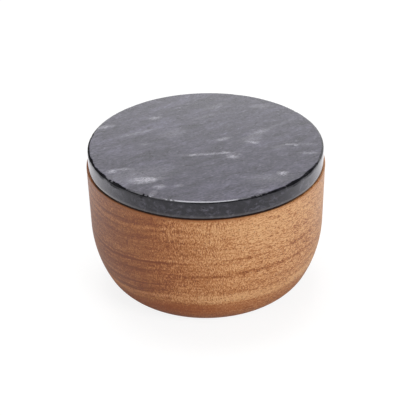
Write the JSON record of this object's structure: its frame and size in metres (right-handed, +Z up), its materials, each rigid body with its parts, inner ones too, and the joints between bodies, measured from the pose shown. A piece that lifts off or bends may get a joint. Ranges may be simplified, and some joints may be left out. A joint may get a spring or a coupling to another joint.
{
  "type": "salt cellar",
  "caption": "Round turned wooden bowl with a flat dark marble lid that lifts off; a spigot under the lid carries a seal ring and centres it in the mouth.",
  "frame": {"origin": "centre of the bowl's base, on the surface it stands on", "axes": "+Z up along the axis that the bowl and lid are turned about; X and Y are alike, and the camera of the picture looks along +Y"},
  "size_m": [0.105, 0.105, 0.068],
  "materials": {
    "bowl_wood": "oiled face-grain hardwood, satin",
    "lid_marble": "dark grey marble with pale veins, honed and polished",
    "seal_silicone": "translucent white silicone, matte"
  },
  "bodies": {
    "bowl": {"bowl": "bowl_wood"},
    "seal_ring": {"seal_ring": "seal_silicone"},
    "lid": {"lid": "lid_marble"}
  },
  "joints": [
    {"name": "lid_lift", "type": "slide", "parent": "bowl", "child": "seal_ring", "axis": [0, 0, 1], "range_m": [0, 0.09]},
    {"name": "lid_turn", "type": "hinge", "parent": "seal_ring", "child": "lid", "pos_m": [0, 0, 0.06], "axis": [0, 0, 1], "continuous": true}
  ]
}
